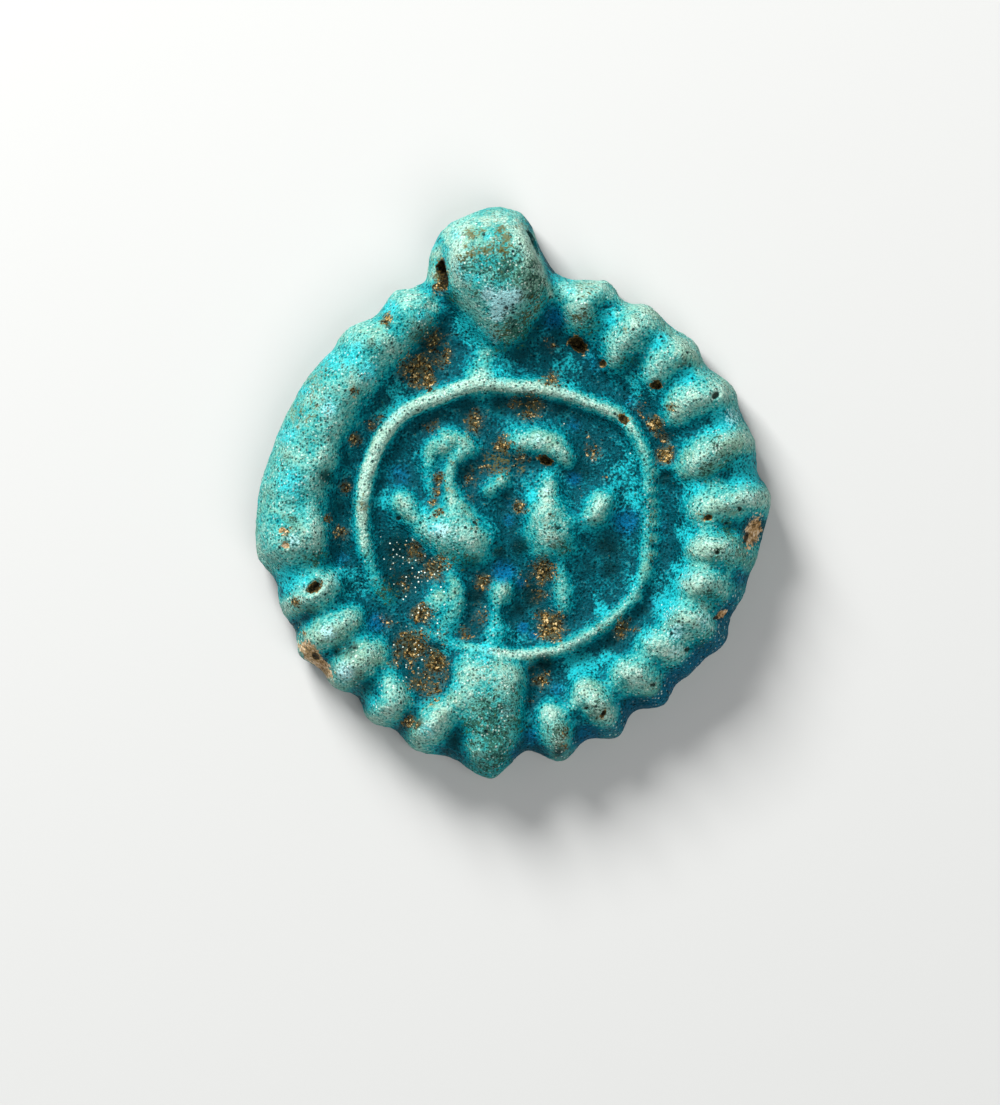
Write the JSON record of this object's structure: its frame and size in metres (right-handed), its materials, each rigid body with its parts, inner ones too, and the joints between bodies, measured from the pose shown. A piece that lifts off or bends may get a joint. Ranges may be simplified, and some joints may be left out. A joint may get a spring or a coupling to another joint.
{
  "type": "faience disc pendant",
  "caption": "Round moulded pendant with a fluted rim, a raised ring around two facing relief figures, a knob at the foot and a pierced lug at the top for a cord.",
  "frame": {"origin": "bottom centre of the bounding box, on the flat back that the pendant lies on", "axes": "+Z out of the moulded front, +Y from the disc's centre towards the pierced lug, +X to the right seen from the front"},
  "size_m": [0.0342, 0.038, 0.0075],
  "materials": {
    "faience": "worn matt turquoise glaze, paler on the high places, deep blue-green in the hollows, with sand in the pits"
  },
  "bodies": {
    "root": {"pendant": "faience"}
  },
  "joints": []
}
